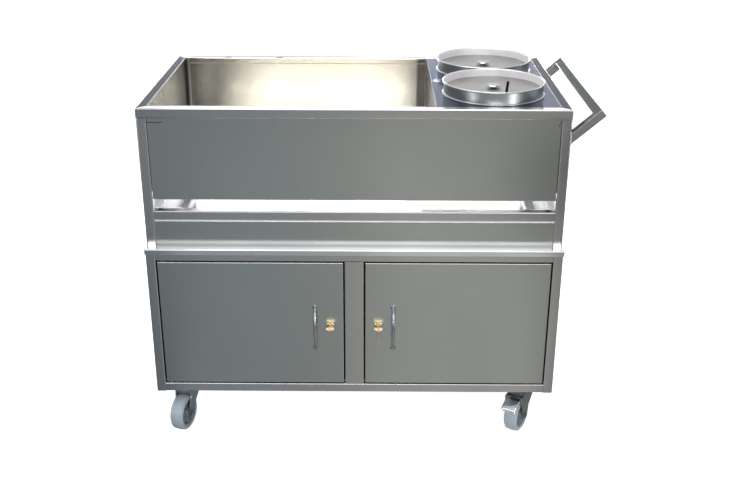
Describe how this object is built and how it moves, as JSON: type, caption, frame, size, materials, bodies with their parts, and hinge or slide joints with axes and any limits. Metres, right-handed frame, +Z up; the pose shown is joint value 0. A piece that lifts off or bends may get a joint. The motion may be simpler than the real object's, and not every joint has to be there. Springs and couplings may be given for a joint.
{
  "type": "popcorn cart",
  "caption": "Stainless steel popcorn cart: open well and lidded pots on top, serving shelf, lockable cabinet below, side push handle and swivel casters.",
  "frame": {"origin": "on the floor, below the middle of the whole outline with handle and keys", "axes": "+Z up, +Y from the door side to the open back, +X towards the push handle"},
  "size_m": [1.152, 0.6536, 0.947],
  "materials": {
    "frame_tube": "brushed stainless tube",
    "panel_sheet": "satin stainless sheet",
    "bright_sheet": "bright rolled stainless sheet",
    "bearer_sheet": "mill stainless sheet",
    "pot_steel": "spun stainless",
    "lid_steel": "satin stainless disc",
    "polished_steel": "polished stainless",
    "brass": "polished brass",
    "zinc": "bright zinc plate",
    "chrome": "chrome plate",
    "hub_plastic": "moulded plastic",
    "tyre_rubber": "grey non-marking rubber"
  },
  "bodies": {
    "cart": {"cabinet_posts": "frame_tube", "cabinet_base_rails": "frame_tube", "cabinet_head_rails": "frame_tube", "centre_stile": "frame_tube", "caster_bearers": "bearer_sheet", "cabinet_floor": "bright_sheet", "cabinet_side_panels": "panel_sheet", "cabinet_back_panel": "panel_sheet", "worktop": "bright_sheet", "upper_posts": "frame_tube", "sill_rails": "frame_tube", "rim_long_rails": "frame_tube", "rim_short_rails": "frame_tube", "front_panel": "panel_sheet", "back_panel": "panel_sheet", "side_panels": "panel_sheet", "apron_strips": "panel_sheet", "well_pan": "bright_sheet", "pot_deck": "bright_sheet", "push_handle": "frame_tube", "door_pins": "zinc", "caster_plates": "zinc", "caster_bolts": "zinc"},
    "left_door": {"left_door": "panel_sheet", "left_pull": "polished_steel", "left_lock": "brass"},
    "left_lock_plug": {"left_lock_cam": "zinc", "left_key": "brass"},
    "left_hanging_key": {"left_spare_key": "brass"},
    "right_door": {"right_door": "panel_sheet", "right_pull": "polished_steel", "right_lock": "brass"},
    "right_lock_plug": {"right_lock_cam": "zinc", "right_key": "brass"},
    "right_hanging_key": {"right_spare_key": "brass"},
    "front_pot": {"front_pot": "pot_steel"},
    "front_lid": {"front_lid": "lid_steel", "front_knob": "polished_steel"},
    "rear_pot": {"rear_pot": "pot_steel"},
    "rear_lid": {"rear_lid": "lid_steel", "rear_knob": "polished_steel"},
    "front_left_caster": {"front_left_fork": "zinc", "front_left_axle": "zinc"},
    "front_left_wheel": {"front_left_hub": "hub_plastic", "front_left_tyre": "tyre_rubber"},
    "front_right_caster": {"front_right_fork": "zinc", "front_right_axle": "zinc"},
    "front_right_wheel": {"front_right_hub": "hub_plastic", "front_right_tyre": "tyre_rubber"},
    "front_right_brake": {"front_right_pedal": "chrome"},
    "rear_left_caster": {"rear_left_fork": "zinc", "rear_left_axle": "zinc"},
    "rear_left_wheel": {"rear_left_hub": "hub_plastic", "rear_left_tyre": "tyre_rubber"},
    "rear_right_caster": {"rear_right_fork": "zinc", "rear_right_axle": "zinc"},
    "rear_right_wheel": {"rear_right_hub": "hub_plastic", "rear_right_tyre": "tyre_rubber"},
    "rear_right_brake": {"rear_right_pedal": "chrome"}
  },
  "joints": [
    {"name": "left_door_swing", "type": "hinge", "parent": "cart", "child": "left_door", "pos_m": [-0.53356, -0.2842, 0.162], "axis": [0, 0, -1], "range_deg": [0, 110]},
    {"name": "left_lock_turn", "type": "hinge", "parent": "left_door", "child": "left_lock_plug", "pos_m": [-0.10306, -0.2922, 0.336], "axis": [0, -1, 0], "range_deg": [0, 90]},
    {"name": "left_key_hang", "type": "hinge", "parent": "left_door", "child": "left_hanging_key", "pos_m": [-0.10306, -0.3002, 0.336], "axis": [0, 1, 0], "range_deg": [-60, 60]},
    {"name": "right_door_swing", "type": "hinge", "parent": "cart", "child": "right_door", "pos_m": [0.45344, -0.2842, 0.162], "axis": [0, 0, 1], "range_deg": [0, 110]},
    {"name": "right_lock_turn", "type": "hinge", "parent": "right_door", "child": "right_lock_plug", "pos_m": [0.02294, -0.2922, 0.336], "axis": [0, 1, 0], "range_deg": [0, 90]},
    {"name": "right_key_hang", "type": "hinge", "parent": "right_door", "child": "right_hanging_key", "pos_m": [0.02294, -0.3002, 0.336], "axis": [0, 1, 0], "range_deg": [-60, 60]},
    {"name": "front_pot_lift", "type": "slide", "parent": "cart", "child": "front_pot", "axis": [0, 0, 1], "range_m": [0, 0.2]},
    {"name": "front_lid_lift", "type": "slide", "parent": "front_pot", "child": "front_lid", "axis": [0, 0, 1], "range_m": [0, 0.1]},
    {"name": "rear_pot_lift", "type": "slide", "parent": "cart", "child": "rear_pot", "axis": [0, 0, 1], "range_m": [0, 0.2]},
    {"name": "rear_lid_lift", "type": "slide", "parent": "rear_pot", "child": "rear_lid", "axis": [0, 0, 1], "range_m": [0, 0.1]},
    {"name": "front_left_swivel", "type": "hinge", "parent": "cart", "child": "front_left_caster", "pos_m": [-0.50356, -0.2272, 0.134], "axis": [0, 0, 1], "continuous": true},
    {"name": "front_left_roll", "type": "hinge", "parent": "front_left_caster", "child": "front_left_wheel", "pos_m": [-0.5135, -0.25971, 0.05], "axis": [0.9563, -0.2924, 0], "continuous": true},
    {"name": "front_right_swivel", "type": "hinge", "parent": "cart", "child": "front_right_caster", "pos_m": [0.42344, -0.2272, 0.134], "axis": [0, 0, 1], "continuous": true},
    {"name": "front_right_roll", "type": "hinge", "parent": "front_right_caster", "child": "front_right_wheel", "pos_m": [0.40644, -0.25665, 0.05], "axis": [0.866, -0.5, 0], "continuous": true},
    {"name": "front_right_brake_press", "type": "hinge", "parent": "front_right_caster", "child": "front_right_brake", "pos_m": [0.39644, -0.27397, 0.106], "axis": [0.866, -0.5, 0], "range_deg": [0, 15]},
    {"name": "rear_left_swivel", "type": "hinge", "parent": "cart", "child": "rear_left_caster", "pos_m": [-0.50356, 0.2588, 0.134], "axis": [0, 0, 1], "continuous": true},
    {"name": "rear_left_roll", "type": "hinge", "parent": "rear_left_caster", "child": "rear_left_wheel", "pos_m": [-0.49306, 0.22646, 0.05], "axis": [0.9511, 0.309, 0], "continuous": true},
    {"name": "rear_right_swivel", "type": "hinge", "parent": "cart", "child": "rear_right_caster", "pos_m": [0.42344, 0.2588, 0.134], "axis": [0, 0, 1], "continuous": true},
    {"name": "rear_right_roll", "type": "hinge", "parent": "rear_right_caster", "child": "rear_right_wheel", "pos_m": [0.41181, 0.22685, 0.05], "axis": [0.9397, -0.342, 0], "continuous": true},
    {"name": "rear_right_brake_press", "type": "hinge", "parent": "rear_right_caster", "child": "rear_right_brake", "pos_m": [0.40497, 0.20806, 0.106], "axis": [0.9397, -0.342, 0], "range_deg": [0, 15]}
  ]
}
